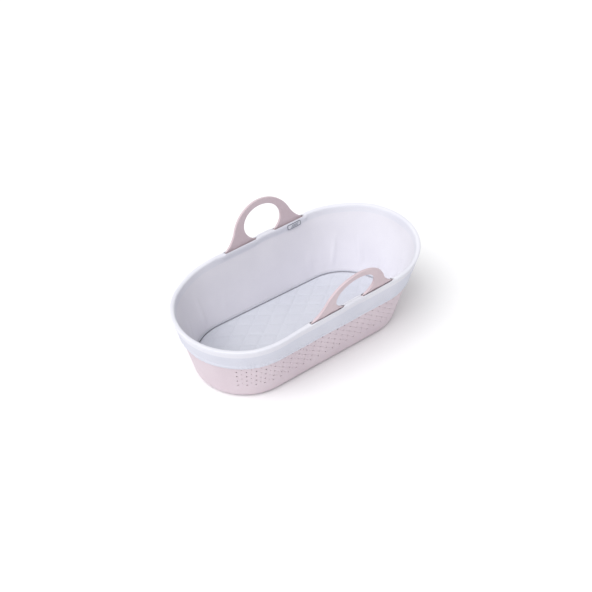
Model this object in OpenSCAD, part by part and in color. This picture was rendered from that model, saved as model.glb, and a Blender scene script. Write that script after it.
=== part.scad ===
// Moulded moses basket with a fabric liner, two flexing handles and a mattress.
// +X points to the head end, +Z up. The origin is on the base plane, under the
// middle of the basket.

/* [Shell] */
// Length of the straight part of each side
straight_len = 400; // [340:5:480]
// Radius of the round ends, and half the width, where wall and base planes meet
base_radius = 157; // [130:1:190]
// Lean of the wall from the vertical
wall_flare = 12.8; // [8:0.1:16]
// Thickness of the moulded wall and base
wall_t = 4; // [3:0.2:5]
// Radius between wall and base, on the outside
corner_radius = 28; // [24:1:40]

/* [Rim] */
// Height of the liner's top edge at the middle of the basket
rim_height = 255.5; // [212:0.5:310]
// Slope of the rim, rising towards the head end
rim_pitch = 2; // [0:0.1:3]
// Extra height at the head end
head_lift = 8; // [0:1:20]
// Height lost at the foot end
foot_drop = 15; // [0:1:25]

/* [Perforations] */
// Diameter of the main air holes
hole_d = 5; // [3:0.5:6]
// Diameter of the small air holes between them
small_hole_d = 3; // [2:0.5:4]
// Spacing of the main holes along the wall
hole_pitch = 28; // [24:1:34]
// Spacing of the main rows
row_pitch = 22; // [18:1:24]
// Number of main rows
hole_rows = 5; // [1:1:5]
// Height of the lowest row
hole_first_z = 63; // [60:1:66]
// Main holes on each side of the middle one
holes_each_way = 12; // [4:1:13]

/* [Handles] */
// Distance of the handles' middle from the middle of the basket
handle_x = 29; // [0:1:40]
// Half the length of a handle where it meets the rim
root_half = 152; // [144:1:164]
// Radius of the arch's outer edge
arch_radius = 116; // [105:1:125]
// Height of that arch's centre above the rim
arch_centre = 6; // [0:1:15]
// Radius of the hollow flare between arch and rim
flare_radius = 110; // [60:1:200]
// Half the length of the hand hole
hand_half_len = 70; // [55:1:80]
// Half the height of the hand hole
hand_half_height = 54.5; // [45:0.5:56]
// Thickness of the grip
grip_t = 8; // [6:0.5:9]
// Lean of the handle from the vertical at rest
handle_lean = 11.5; // [4:0.5:13]
// Swing towards the middle of the basket
swing_in = 15; // [5:1:18]
// Swing away from the basket
swing_out = 8; // [3:1:10]
// Depth of the flexing root below the rim
root_depth = 12; // [11:0.5:13]
// Radius of the bead along the root
bead_radius = 3; // [2.5:0.1:3.2]
// Thickness of the web between bead and grip
web_t = 3.2; // [2.4:0.1:3.4]
// Wall of the rail that holds the bead
rail_t = 1.8; // [1.5:0.1:2]

/* [Liner] */
// Thickness of the liner cloth
cloth_t = 2.5; // [2:0.1:3]
// Distance from the rim down to the skirt's hem, at the middle
skirt_drop = 94; // [80:1:110]
// Share of the rim's rise and fall that the hem follows
hem_follow = 0.44; // [0:0.02:1]
// Height of the hem's casing
hem_height = 12; // [10:1:16]
// Thickness of the elastic
elastic_t = 1; // [0.8:0.1:1.2]

/* [Mattress] */
// Height of the mattress's top face above the base plane
mattress_top = 42; // [36:1:60]
// Thickness of the mattress cover
cover_t = 1.5; // [1:0.1:2]
// Height of the seam between the cover's two halves
seam_z = 25; // [20:1:30]

/* [Label] */
// Length of the sewn label
label_len = 50; // [30:1:60]
// Height of the sewn label
label_height = 14; // [10:1:16]
// Distance of the label from the middle of the basket
label_x = 140; // [120:1:160]

/* [Hidden] */

$fn = 96;
SHELL_PINK = [0.85, 0.76, 0.77];
HANDLE_PINK = [0.80, 0.70, 0.72];
LINER_WHITE = [0.93, 0.93, 0.96];
MATTRESS_WHITE = [0.90, 0.92, 0.95];

gap = 0.4;            // clearance between cloth and the piece it covers
mattress_gap = 1.2;   // clearance between mattress and liner
foam_gap = 0.3;       // clearance between the foam and its cover
elastic_gap = 0.2;    // clearance of the elastic in its casing
run = 0.2;            // running clearance of the handle's bead in its rail
overlap = 1;          // how far a cutting tool passes a face that it cuts
reach = 600;          // longer than the basket, for cutting tools
corner_steps = 8;     // flats round the section's corner
rim_steps = 40;       // flats along the rim's and the hem's curves
flare_steps = 10;     // flats round each flare of a handle
arch_steps = 36;      // flats round a handle's arch
hand_steps = 48;      // flats round a hand hole
hole_middle_z = hole_first_z + (hole_rows - 1) / 2 * row_pitch;
left = 1;             // +Y side
right = -1;           // -Y side

slope = tan(wall_flare);
grow = 1 / cos(wall_flare);   // horizontal distance for one unit of wall thickness
roll_overhang = 6;            // the rim's roll stands this far outside the wall
// Half the basket's length at the rim
rim_end = straight_len / 2 + base_radius + slope * rim_height + roll_overhang;
// The straight part sits back from the origin, because the head end leans out further
mid_x = -slope * (rim_z(reach) - rim_z(-reach)) / 2;
// Taller than the basket, for solids that the rim's line trims
tall = rim_z(reach) + 20;

// Depths from the shell's outer face, positive towards the inside
liner_out = wall_t + gap;
liner_in = liner_out + cloth_t;
cover_out = liner_in + mattress_gap;
cover_in = cover_out + cover_t;
core_out = cover_in + foam_gap;
rail_depth = wall_t / 2;
rail_radius = bead_radius + run + rail_t;
roll_hollow_in = rail_depth + rail_radius + gap;
roll_in = roll_hollow_in + cloth_t;
roll_hollow_out = rail_depth - rail_radius - gap;
roll_out = roll_hollow_out - cloth_t;
skirt_in = -gap;
skirt_out = skirt_in - cloth_t;
casing_t = 1.2;
elastic_in = skirt_in - casing_t - elastic_gap;
casing_out = elastic_in - elastic_t - elastic_gap - casing_t;

// Heights below the rim
roll_top_t = 3;
roll_hollow = root_depth + rail_radius + 3;
roll_bottom = roll_hollow + 4;

// Inset of the hem's pocket from the casing's edges, and of the elastic in it
pocket_inset = 2;
elastic_inset = pocket_inset + 0.5;

// The rail's closed ends, the notch above it and the depth of tools that cut round it
rail_end = 4;
notch_end = 2;
notch_reach = 20;
notch_height = 60;
sweep_height = 40;

// Handle outline: each flare's circle passes through the tip at the rim and touches the arch
arch_z = root_depth + arch_centre;
tip_distance = norm([root_half, arch_centre]);
tip_fall = asin(arch_centre / tip_distance);
flare_distance = arch_radius + flare_radius;
tangent = acos((pow(flare_distance, 2) + pow(tip_distance, 2) - pow(flare_radius, 2))
               / (2 * flare_distance * tip_distance)) - tip_fall;
flare_x = flare_distance * cos(tangent);
flare_z = arch_z + flare_distance * sin(tangent);
tip_angle = atan2(root_depth - flare_z, root_half - flare_x);
grip_z = root_depth + 4;
plate_overlap = 1;
web_strip = 2;        // web left between the bead and the hand hole
hand_z = bead_radius + web_strip + hand_half_height;

// Tape sewn round a slit, and the label
tape_t = 1.2;
tape_w = 1.8;
tape_rise = 3;
label_t = 0.8;

// Axis of a handle
axis_z = rim_z(handle_x) - root_depth;
axis_y = base_radius + slope * axis_z - rail_depth * grow;
axis_yaw = atan(slope * tan(rim_pitch));

function smooth(t) = let (u = min(1, max(0, t))) u * u * (3 - 2 * u);

// Height of the liner's top edge at x; it is level beyond both ends
function rim_z(x) =
    let (c = min(rim_end, max(-rim_end, x)))
    rim_height + tan(rim_pitch) * c
    + head_lift * smooth((c - 0.7 * rim_end) / (0.3 * rim_end))
    - foot_drop * smooth((-c - 0.34 * rim_end) / (0.44 * rim_end));

// Height of the hem at x
function hem_z(x) = rim_height - skirt_drop + hem_follow * (rim_z(x) - rim_height);

// Half section of the basket at a depth from the shell's outer face, up to a height
function half_section(depth, top) =
    let (run_in = corner_radius * tan(45 - wall_flare / 2))
    concat(
        [[0, depth]],
        [for (i = [0 : corner_steps])
            let (a = -90 + i * (90 - wall_flare) / corner_steps)
            [base_radius - run_in + (corner_radius - depth) * cos(a),
             corner_radius + (corner_radius - depth) * sin(a)]],
        [[base_radius + slope * top - depth * grow, top], [0, top]]);

// Solid bounded by the basket's surface at a depth from the shell's outer face
module tub(depth, top) {
    section = half_section(depth, top);
    for (end = [-1, 1])
        translate([mid_x + end * straight_len / 2, 0, 0])
            rotate([0, 0, -90 * end])
                rotate_extrude(angle = 180)
                    polygon(section);
    translate([mid_x - straight_len / 2, 0, 0])
        rotate([90, 0, 90])
            linear_extrude(straight_len)
                polygon(concat(section, [for (i = [len(section) - 2 : -1 : 1])
                                            [-section[i][0], section[i][1]]]));
}

// Places along the basket where the rim's and the hem's curves have a point
function rim_stations() = [for (i = [0 : rim_steps]) (2 * i / rim_steps - 1) * rim_end];

// Everything lower than the rim less a drop, or lower than the hem plus a rise
module under_rim(drop) {
    under_line([for (x = rim_stations()) [x, rim_z(x) - drop]]);
}

module under_hem(rise) {
    under_line([for (x = rim_stations()) [x, hem_z(x) + rise]]);
}

module under_line(line) {
    last = len(line) - 1;
    rotate([90, 0, 0])
        linear_extrude(2 * reach, center = true)
            polygon(concat([[-reach, -overlap], [-reach, line[0][1]]], line,
                           [[reach, line[last][1]], [reach, -overlap]]));
}

// Layer of the basket between two depths, as high as the children allow
module layer(outer, inner) {
    intersection() {
        difference() {
            tub(outer, tall);
            tub(inner, tall + overlap);
        }
        children();
    }
}

// Frame on a handle's axis: X along the axis, Z up; modelled for the -Y side
module on_axis(side) {
    mirror([0, side == left ? 1 : 0, 0])
        translate([handle_x, -axis_y, axis_z])
            rotate([0, 0, -axis_yaw])
                rotate([0, -rim_pitch, 0])
                    children();
}

// Prism along the axis, from an outline of [outward, up] points
module along_axis(length) {
    rotate([90, 0, 90])
        linear_extrude(length, center = true)
            mirror([1, 0])
                children();
}

// Room that the web sweeps as the handle swings, up to a height
module web_sweep(height, clear) {
    half = web_t / 2 + clear;
    low = handle_lean - swing_in;
    high = handle_lean + swing_out;
    along_axis(2 * (root_half + run)) {
        for (a = [low, high])
            rotate(-a)
                translate([-half, 0])
                    square([2 * half, height]);
        polygon([[0, 0], height * [sin(low), cos(low)], height * [sin(high), cos(high)]]);
    }
}

// Air hole through the wall, at a distance along the side from its middle
module air_hole(along, z, d) {
    end = sign(along);
    beyond = max(0, abs(along) - straight_len / 2);
    turn = beyond / (base_radius + slope * hole_middle_z) * 180 / PI;
    translate([mid_x + along - end * beyond, 0, 0])
        rotate([0, 0, end * turn])
            translate([0, -base_radius - slope * z, z])
                rotate([90 - wall_flare, 0, 0])
                    cylinder(d = d, h = 4 * wall_t, center = true);
}

module air_holes() {
    for (side = [0, 1])
        mirror([0, side, 0]) {
            for (row = [0 : hole_rows - 1])
                for (i = [-holes_each_way : holes_each_way])
                    air_hole(i * hole_pitch, hole_first_z + row * row_pitch, hole_d);
            for (row = [0 : 1 : hole_rows - 2])
                for (i = [-holes_each_way : holes_each_way - 1])
                    air_hole((i + 0.5) * hole_pitch,
                             hole_first_z + (row + 0.5) * row_pitch, small_hole_d);
        }
}

module shell() {
    color(SHELL_PINK)
        difference() {
            union() {
                difference() {
                    layer(0, wall_t)
                        under_rim(roll_top_t + gap);
                    for (side = [left, right])
                        on_axis(side)
                            translate([-root_half - notch_end, -notch_reach, 0])
                                cube([2 * (root_half + notch_end), 2 * notch_reach,
                                      notch_height]);
                }
                for (side = [left, right])
                    on_axis(side)
                        rotate([0, 90, 0])
                            cylinder(r = rail_radius, h = 2 * (root_half + rail_end), center = true);
            }
            for (side = [left, right])
                on_axis(side) {
                    rotate([0, 90, 0])
                        cylinder(r = bead_radius + run, h = 2 * (root_half + run), center = true);
                    web_sweep(sweep_height, run);
                }
            air_holes();
        }
}

// Outline of a handle in its own plane, from the bead up
function handle_outline() = concat(
    [[root_half, 0], [root_half, root_depth]],
    [for (i = [1 : flare_steps])
        let (a = tip_angle + i * (tangent - 180 - tip_angle) / flare_steps)
        [flare_x + flare_radius * cos(a), flare_z + flare_radius * sin(a)]],
    [for (i = [1 : arch_steps - 1])
        let (a = tangent + i * (180 - 2 * tangent) / arch_steps)
        [arch_radius * cos(a), arch_z + arch_radius * sin(a)]],
    [for (i = [flare_steps : -1 : 1])
        let (a = tip_angle + i * (tangent - 180 - tip_angle) / flare_steps)
        [-flare_x - flare_radius * cos(a), flare_z + flare_radius * sin(a)]],
    [[-root_half, root_depth], [-root_half, 0]]);

module handle_plate(thickness, low, high) {
    rotate([90, 0, 0])
        linear_extrude(thickness, center = true)
            intersection() {
                difference() {
                    polygon(handle_outline());
                    polygon([for (i = [1 : hand_steps])
                                let (a = 360 * i / hand_steps)
                                [hand_half_len * cos(a), hand_z + hand_half_height * sin(a)]]);
                }
                translate([-reach, low])
                    square([2 * reach, high - low]);
            }
}

module handle(side) {
    on_axis(side)
        rotate([handle_lean, 0, 0]) {
            rotate([0, 90, 0])
                cylinder(r = bead_radius, h = 2 * root_half, center = true);
            handle_plate(web_t, 0, grip_z + plate_overlap);
            handle_plate(grip_t, grip_z, reach);
        }
}

module handle_left() {
    color(HANDLE_PINK)
        handle(left);
}

module handle_right() {
    color(HANDLE_PINK)
        handle(right);
}

module liner_floor() {
    color(LINER_WHITE)
        difference() {
            tub(liner_out, seam_z);
            tub(liner_in, seam_z + overlap);
        }
}

module liner_wall() {
    color(LINER_WHITE)
        difference() {
            layer(liner_out, liner_in)
                under_rim(roll_bottom);
            translate([-reach, -reach, -overlap])
                cube([2 * reach, 2 * reach, seam_z + overlap]);
        }
}

// Padded rim: a closed channel over the shell's edge, slit for each handle
module liner_rim() {
    color(LINER_WHITE)
        difference() {
            layer(roll_out, roll_in)
                difference() {
                    under_rim(0);
                    under_rim(roll_bottom);
                }
            layer(roll_hollow_out, roll_hollow_in)
                difference() {
                    under_rim(roll_top_t);
                    under_rim(roll_hollow);
                }
            layer(skirt_in, liner_out)
                difference() {
                    under_rim(roll_hollow - overlap);
                    under_rim(roll_bottom + overlap);
                }
            for (side = [left, right])
                on_axis(side)
                    web_sweep(sweep_height, gap);
        }
}

module liner_skirt() {
    color(LINER_WHITE)
        layer(skirt_out, skirt_in)
            difference() {
                under_rim(roll_bottom);
                under_hem(hem_height);
            }
}

module hem_casing() {
    color(LINER_WHITE)
        difference() {
            layer(casing_out, skirt_in)
                difference() {
                    under_hem(hem_height);
                    under_hem(0);
                }
            layer(casing_out + casing_t, skirt_in - casing_t)
                difference() {
                    under_hem(hem_height - pocket_inset);
                    under_hem(pocket_inset);
                }
        }
}

module hem_elastic() {
    color("white")
        layer(elastic_in - elastic_t, elastic_in)
            difference() {
                under_hem(hem_height - elastic_inset);
                under_hem(elastic_inset);
            }
}

// Tape sewn round a slit, on top of the rim
module slit_binding(side) {
    on_axis(side)
        intersection() {
            translate([-root_half - tape_w, -notch_reach, root_depth])
                cube([2 * (root_half + tape_w), 2 * notch_reach, tape_t]);
            difference() {
                along_axis(2 * (root_half + tape_w))
                    polygon(slit_outline(tape_w));
                along_axis(2 * (root_half + run))
                    polygon(slit_outline(0));
            }
        }
}

// Section of a slit just above the rim, grown sideways
function slit_outline(grown) =
    let (half = web_t / 2 + gap, low = handle_lean - swing_in, high = handle_lean + swing_out,
         low_z = root_depth - overlap, top = root_depth + tape_rise)
    [[top * tan(low) - half / cos(low) - grown, low_z],
     [top * tan(high) + half / cos(high) + grown, low_z],
     [top * tan(high) + half / cos(high) + grown, top],
     [top * tan(low) - half / cos(low) - grown, top]];

module slit_binding_left() {
    color("white")
        slit_binding(left);
}

module slit_binding_right() {
    color("white")
        slit_binding(right);
}

module label() {
    z = rim_z(label_x) - roll_bottom / 2;
    color("lightgrey")
        translate([label_x, base_radius + slope * z - roll_in * grow, z])
            rotate([90 - wall_flare, 0, 0])
                rotate([0, 0, rim_pitch])
                    linear_extrude(label_t)
                        square([label_len, label_height], center = true);
}

module mattress_core() {
    color("ivory")
        tub(core_out, mattress_top - cover_t - foam_gap);
}

module mattress_top_cover() {
    color(MATTRESS_WHITE)
        difference() {
            tub(cover_out, mattress_top);
            tub(cover_in, mattress_top - cover_t);
            translate([-reach, -reach, -overlap])
                cube([2 * reach, 2 * reach, seam_z + overlap]);
        }
}

module mattress_base_cover() {
    color(MATTRESS_WHITE)
        difference() {
            tub(cover_out, seam_z);
            tub(cover_in, seam_z + overlap);
        }
}

shell();
handle_left();
handle_right();
liner_floor();
liner_wall();
liner_rim();
liner_skirt();
hem_casing();
hem_elastic();
slit_binding_left();
slit_binding_right();
label();
mattress_core();
mattress_top_cover();
mattress_base_cover();
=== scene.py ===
import contextlib
import math

import bmesh
import bpy
import numpy as np
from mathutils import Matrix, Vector, noise


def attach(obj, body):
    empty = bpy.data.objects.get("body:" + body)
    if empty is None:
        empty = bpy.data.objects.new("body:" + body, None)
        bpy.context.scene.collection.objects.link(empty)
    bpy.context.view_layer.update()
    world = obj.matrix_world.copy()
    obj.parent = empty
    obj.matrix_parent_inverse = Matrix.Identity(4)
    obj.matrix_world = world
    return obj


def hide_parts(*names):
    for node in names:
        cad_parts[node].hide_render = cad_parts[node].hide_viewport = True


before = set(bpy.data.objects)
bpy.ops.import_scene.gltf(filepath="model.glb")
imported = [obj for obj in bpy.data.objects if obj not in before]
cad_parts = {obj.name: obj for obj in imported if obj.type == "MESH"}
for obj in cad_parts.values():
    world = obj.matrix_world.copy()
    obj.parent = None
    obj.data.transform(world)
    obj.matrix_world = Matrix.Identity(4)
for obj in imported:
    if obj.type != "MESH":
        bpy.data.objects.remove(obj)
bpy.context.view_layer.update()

# Driving sizes of the basket, in metres. They are the CAD model's own.
STRAIGHT = 0.400          # straight part of each side
BASE_R = 0.157            # radius of the round ends at the base plane
FLARE = math.radians(12.8)
WALL = 0.004
CORNER_R = 0.028
RIM = 0.2555
RIM_PITCH = math.radians(2.0)
HEAD_LIFT = 0.008
FOOT_DROP = 0.015
SKIRT_DROP = 0.094
HEM_FOLLOW = 0.44
HEM_HEIGHT = 0.012
SEAM_Z = 0.025
MATTRESS_TOP = 0.042
HOLE_R = 0.0025
SMALL_HOLE_R = 0.0015
HOLE_PITCH = 0.028
ROW_PITCH = 0.022
HOLE_ROWS = 5
HOLE_FIRST_Z = 0.063
HOLES_EACH_WAY = 12
HANDLE_X = 0.029
ROOT_DEPTH = 0.012
ROOT_HALF = 0.152         # half the length of a handle at the rim
ARCH_R = 0.116
ARCH_CENTRE = 0.006
FLARE_R = 0.110
HAND_A = 0.070
HAND_B = 0.0545
GRIP_T = 0.008
WEB_T = 0.0032
BEAD_R = 0.003
LEAN = math.radians(11.5)
SWING_IN = math.radians(15)
SWING_OUT = math.radians(8)

SLOPE = math.tan(FLARE)
GROW = 1 / math.cos(FLARE)
RIM_END = STRAIGHT / 2 + BASE_R + SLOPE * RIM + 0.006
MIDDLE_Z = HOLE_FIRST_Z + (HOLE_ROWS - 1) / 2 * ROW_PITCH
REF_R = BASE_R + SLOPE * MIDDLE_Z
QUARTER = STRAIGHT / 2 + math.pi / 2 * REF_R      # from a side's middle to an end's middle
LAP = 4 * QUARTER         # once round the basket
RAIL_BORE = BEAD_R + 0.0002
RAIL_R = RAIL_BORE + 0.0018
INSET = CORNER_R * math.tan(math.pi / 4 - FLARE / 2)      # flat floor's edge inside BASE_R


def smooth(t):
    """Eases from 0 to 1 as t goes from 0 to 1."""
    t = np.clip(t, 0, 1)
    return t * t * (3 - 2 * t)


def rim_z(x):
    """Height of the liner's top edge at x."""
    c = np.clip(x, -RIM_END, RIM_END)
    return (RIM + math.tan(RIM_PITCH) * c
            + HEAD_LIFT * smooth((c - 0.7 * RIM_END) / (0.3 * RIM_END))
            - FOOT_DROP * smooth((-c - 0.34 * RIM_END) / (0.44 * RIM_END)))


def hem_z(x):
    """Height of the skirt's lower edge at x."""
    return RIM - SKIRT_DROP + HEM_FOLLOW * (rim_z(x) - RIM)


MID_X = -SLOPE * float(rim_z(RIM_END) - rim_z(-RIM_END)) / 2


def station(p):
    """Centre and outward direction at a distance p round the basket, from the -Y side's middle
    anticlockwise. Returns arrays cx, nx, ny."""
    p = np.asarray(p, float)
    p = (p + QUARTER) % LAP - QUARTER
    far = p > QUARTER
    q = np.where(far, p - 2 * QUARTER, p)
    end = np.sign(q)
    beyond = np.maximum(0, np.abs(q) - STRAIGHT / 2)
    turn = beyond / REF_R
    side = np.where(far, -1.0, 1.0)
    cx = MID_X + side * (q - end * beyond)
    return cx, side * end * np.sin(turn), -side * np.cos(turn)


def wall_r(z, depth):
    """Distance from the centre line to the surface at a depth inside the shell's outer face."""
    return BASE_R + SLOPE * z - depth * GROW


def place(p, rho, z):
    """Points at p round the basket, rho from the centre line and z up."""
    cx, nx, ny = station(p)
    return np.stack([cx + rho * nx, rho * ny, z + 0 * rho], -1)


def wall_foot(depth):
    """Height at which the rounded corner meets the straight wall."""
    return CORNER_R - (CORNER_R - depth) * math.sin(FLARE)


def settle(line, start, p, depth):
    """Height of an edge line, given over x, at p on the leaning wall."""
    cx, nx, ny = station(p)
    z = np.full(np.shape(cx), start)
    for _ in range(12):
        z = line(cx + wall_r(z, depth) * nx)
    return z


def rim_at(p):
    """Height of the liner's top edge at p."""
    return settle(rim_z, RIM, p, 0.0)


def hem_at(p):
    """Height of the skirt's lower edge at p."""
    return settle(hem_z, RIM - SKIRT_DROP, p, SKIRT_OUT)


def corner_rows(p, depth, steps, count):
    """Rows round the corner between floor and wall, from the flat floor's edge up."""
    rows = []
    for k in range(count):
        a = -math.pi / 2 + (math.pi / 2 - FLARE) * k / steps
        rho = BASE_R - INSET + (CORNER_R - depth) * math.cos(a)
        rows.append(place(p, np.full(len(p), rho), CORNER_R + (CORNER_R - depth) * math.sin(a)))
    return rows


def cell_edges():
    """Places round the basket that bound its cells, each half a hole pitch wide. What is left at
    the round ends' middles is shared out evenly."""
    half = HOLE_PITCH / 2
    edges = [half * (k + 0.5) for k in range(2 * HOLES_EACH_WAY + 1)]
    rest = QUARTER - edges[-1]
    count = round(rest / half)
    edges += [edges[-1] + rest * (k + 1) / count for k in range(count)]
    side = [-e for e in reversed(edges)] + edges
    return side + [e + 2 * QUARTER for e in side[1:]]


CELLS = cell_edges()


def columns(per_cell):
    """Places round the basket, with each cell cut into a number of columns."""
    out = []
    for a, b in zip(CELLS[:-1], CELLS[1:]):
        out += [a + (b - a) * k / per_cell for k in range(per_cell)]
    return np.array(out)


# -------------------- mesh helpers

SHARP = math.radians(50)


def new_object(name, verts, faces, uvs=None):
    """Smooth-shaded mesh object in the scene. uvs are per face corner, in metres."""
    mesh = bpy.data.meshes.new(name)
    mesh.from_pydata([tuple(v) for v in verts], [], faces)
    if uvs is not None:
        layer = mesh.uv_layers.new(name="cloth")
        layer.data.foreach_set("uv", np.asarray(uvs, np.float32).ravel())
    mesh.validate()
    mesh.update()
    obj = bpy.data.objects.new(name, mesh)
    bpy.context.scene.collection.objects.link(obj)
    soften(mesh)
    return obj


def soften(mesh):
    """Smooth shading, apart from the sharp edges."""
    mesh.shade_smooth()
    mesh.set_sharp_from_angle(angle=SHARP)


def grid_faces(rows, count, closed=False):
    """Quads between rows of count points. Each row is a ring, and closed joins the last row too."""
    return [(r * count + c, r * count + (c + 1) % count,
             (r + 1) % rows * count + (c + 1) % count, (r + 1) % rows * count + c)
            for r in range(rows if closed else rows - 1) for c in range(count)]


def bridge(a, b):
    """Quads between two rings of point numbers."""
    n = len(a)
    return [[a[i], a[(i + 1) % n], b[(i + 1) % n], b[i]] for i in range(n)]


def quad_uv(u0, u1, v0, v1):
    return [(u0, v0), (u1, v0), (u1, v1), (u0, v1)]


def turned(faces):
    """The same quads wound the other way."""
    return [(a, d, c, b) for a, b, c, d in faces]


def loft(name, p, rows, closed=False):
    """Cloth surface through rows of points round the basket."""
    rows = np.asarray(rows)
    nr, nc = rows.shape[:2]
    step = np.linalg.norm(np.diff(rows, axis=0), axis=2).mean(1)
    v_of = list(np.concatenate([[0], np.cumsum(step)]))
    pn = list(p) + [p[0] + LAP]
    uvs = []
    for r in range(nr if closed else nr - 1):
        v0, v1 = v_of[r], v_of[r + 1] if r + 1 < len(v_of) else v_of[r] + (v_of[1] - v_of[0])
        for c in range(nc):
            uvs += quad_uv(pn[c], pn[c + 1], v0, v1)
    return new_object(name, rows.reshape(-1, 3), grid_faces(nr, nc, closed), uvs)


def closed_slab(name, rows):
    """Solid through rings of points, with a flat face at each end."""
    n, last = len(rows[0]), (len(rows) - 1) * len(rows[0])
    faces = grid_faces(len(rows), n)
    faces += [tuple(reversed(range(n))), tuple(last + c for c in range(n))]
    obj = new_object(name, np.array(rows).reshape(-1, 3), faces)
    face_outwards(obj)
    return obj


def apply_modifiers(obj):
    bpy.context.view_layer.update()
    deps = bpy.context.evaluated_depsgraph_get()
    mesh = bpy.data.meshes.new_from_object(obj.evaluated_get(deps))
    old = obj.data
    obj.modifiers.clear()
    obj.data = mesh
    bpy.data.meshes.remove(old)
    soften(mesh)


def thicken(obj, thickness):
    """Gives a sheet its thickness, behind its face."""
    m = obj.modifiers.new("thick", "SOLIDIFY")
    m.thickness = thickness
    m.offset = -1.0
    m.use_even_offset = True
    apply_modifiers(obj)


def subdivide(obj):
    m = obj.modifiers.new("subdivide", "SUBSURF")
    m.levels = 1
    m.render_levels = 1
    apply_modifiers(obj)


@contextlib.contextmanager
def editing(mesh):
    """Opens a mesh for editing, and writes it back."""
    bm = bmesh.new()
    bm.from_mesh(mesh)
    yield bm
    bm.to_mesh(mesh)
    bm.free()


def face_outwards(obj):
    with editing(obj.data) as bm:
        bmesh.ops.recalc_face_normals(bm, faces=bm.faces)


def flip(obj):
    with editing(obj.data) as bm:
        bmesh.ops.reverse_faces(bm, faces=bm.faces)


def finish_piece(obj, body, material, nodes=()):
    obj.data.materials.clear()
    obj.data.materials.append(material)
    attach(obj, body)
    if nodes:
        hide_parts(*nodes)


# -------------------- materials

class Nodes:
    """Small helper that builds a node tree in a few readable lines."""

    def __init__(self, name):
        self.material = bpy.data.materials.new(name)
        self.material.use_nodes = True
        self.tree = self.material.node_tree
        self.shader = self.tree.nodes["Principled BSDF"]

    def add(self, kind, inputs=(), **props):
        node = self.tree.nodes.new(kind)
        for key, value in props.items():
            setattr(node, key, value)
        for key, value in dict(inputs).items():
            if isinstance(value, bpy.types.NodeSocket):
                self.tree.links.new(value, node.inputs[key])
            else:
                node.inputs[key].default_value = value
        return node

    def math(self, operation, a, b=0.0):
        return self.add("ShaderNodeMath", {0: a, 1: b}, operation=operation).outputs[0]

    def noise(self, vector, scale, detail=2.0, roughness=0.5):
        return self.add("ShaderNodeTexNoise", {"Vector": vector, "Scale": scale, "Detail": detail,
                                               "Roughness": roughness}).outputs[0]

    def mix(self, factor, a, b):
        return self.add("ShaderNodeMix", {0: factor, 6: a, 7: b}, data_type="RGBA").outputs[2]

    def spread(self, value, low, high, to_low, to_high):
        return self.add("ShaderNodeMapRange", {0: value, 1: low, 2: high, 3: to_low,
                                               4: to_high}).outputs[0]

    def bump(self, height, strength, distance, normal=None):
        inputs = {"Height": height, "Strength": strength, "Distance": distance}
        if normal is not None:
            inputs["Normal"] = normal
        return self.add("ShaderNodeBump", inputs).outputs[0]

    def fix(self, name, value):
        self.shader.inputs[name].default_value = value

    def link(self, socket, name):
        self.tree.links.new(socket, self.shader.inputs[name])


def rgba(r, g, b):
    """Linear colour from an sRGB one out of 255."""
    def lin(c):
        c /= 255
        return c / 12.92 if c <= 0.04045 else ((c + 0.055) / 1.055) ** 2.4
    return (lin(r), lin(g), lin(b), 1.0)


def plastic(name, colour, shade, grain=1.0):
    """Soft-touch moulded plastic: fine eroded grain, faint mottling and paler edges painted as a
    highlight.
    """
    n = Nodes(name)
    place_in = n.add("ShaderNodeTexCoord").outputs["Object"]
    cloud = n.noise(place_in, 9.0, 3.0)
    fine = n.noise(place_in, 260.0, 3.0, 0.6)
    grainy = n.noise(place_in, 1500.0, 2.0, 0.55)
    base = n.mix(n.spread(cloud, 0.35, 0.65, 0.0, 1.0), colour, shade)
    base = n.mix(n.spread(fine, 0.3, 0.7, 0.0, 0.10), base, rgba(250, 243, 244))
    # Painted highlight: convex edges, found by pointiness, are mixed paler, as if the light catches
    # them.
    edge = n.add("ShaderNodeNewGeometry").outputs["Pointiness"]
    base = n.mix(n.spread(edge, 0.515, 0.60, 0.0, 0.22), base, rgba(248, 240, 240))
    n.link(base, "Base Color")
    n.link(n.spread(fine, 0.3, 0.7, 0.50, 0.64), "Roughness")
    first = n.bump(grainy, 0.22 * grain, 0.0004)
    n.link(n.bump(fine, 0.10 * grain, 0.0010, first), "Normal")
    n.fix("Specular IOR Level", 0.38)
    n.fix("Sheen Weight", 0.06)
    n.fix("Sheen Roughness", 0.5)
    return n.material


def cloth(name, colour, shade, thread=0.0011, relief=0.5, uv=True, sheen=0.25):
    """Fine cloth: threads each way with painted shade between them, slubs, faint shading and a soft
    nap.
    """
    n = Nodes(name)
    places = n.add("ShaderNodeTexCoord").outputs
    around = places["Object"]
    lay = places["UV"] if uv else around
    split = n.add("ShaderNodeSeparateXYZ", {0: lay}).outputs
    turns = 2 * math.pi / thread
    wobble = n.math("MULTIPLY", n.noise(around, 120.0, 2.0), 2.4)
    warp = n.math("SINE", n.math("ADD", n.math("MULTIPLY", split[0], turns), wobble))
    weft = n.math("SINE", n.math("ADD", n.math("MULTIPLY", split[1], turns), wobble))
    weave = n.math("MULTIPLY", warp, weft)
    slub = n.noise(around, 420.0, 3.0, 0.7)
    cloud = n.noise(around, 7.0, 3.0)
    base = n.mix(n.spread(cloud, 0.35, 0.65, 0.0, 1.0), colour, shade)
    # Painted shade: where the weave's height is low, between the threads, the colour is mixed towards
    # blue-grey.
    base = n.mix(n.spread(weave, -1.0, 1.0, 0.10, 0.0), base, rgba(168, 168, 186))
    base = n.mix(n.spread(slub, 0.35, 0.75, 0.0, 0.12), base, rgba(255, 255, 255))
    n.link(base, "Base Color")
    n.link(n.spread(slub, 0.3, 0.7, 0.82, 0.95), "Roughness")
    first = n.bump(weave, relief, 0.00025)
    n.link(n.bump(slub, 0.35 * relief, 0.0006, first), "Normal")
    n.fix("Specular IOR Level", 0.15)
    n.fix("Sheen Weight", sheen)
    n.fix("Sheen Roughness", 0.45)
    return n.material


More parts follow.
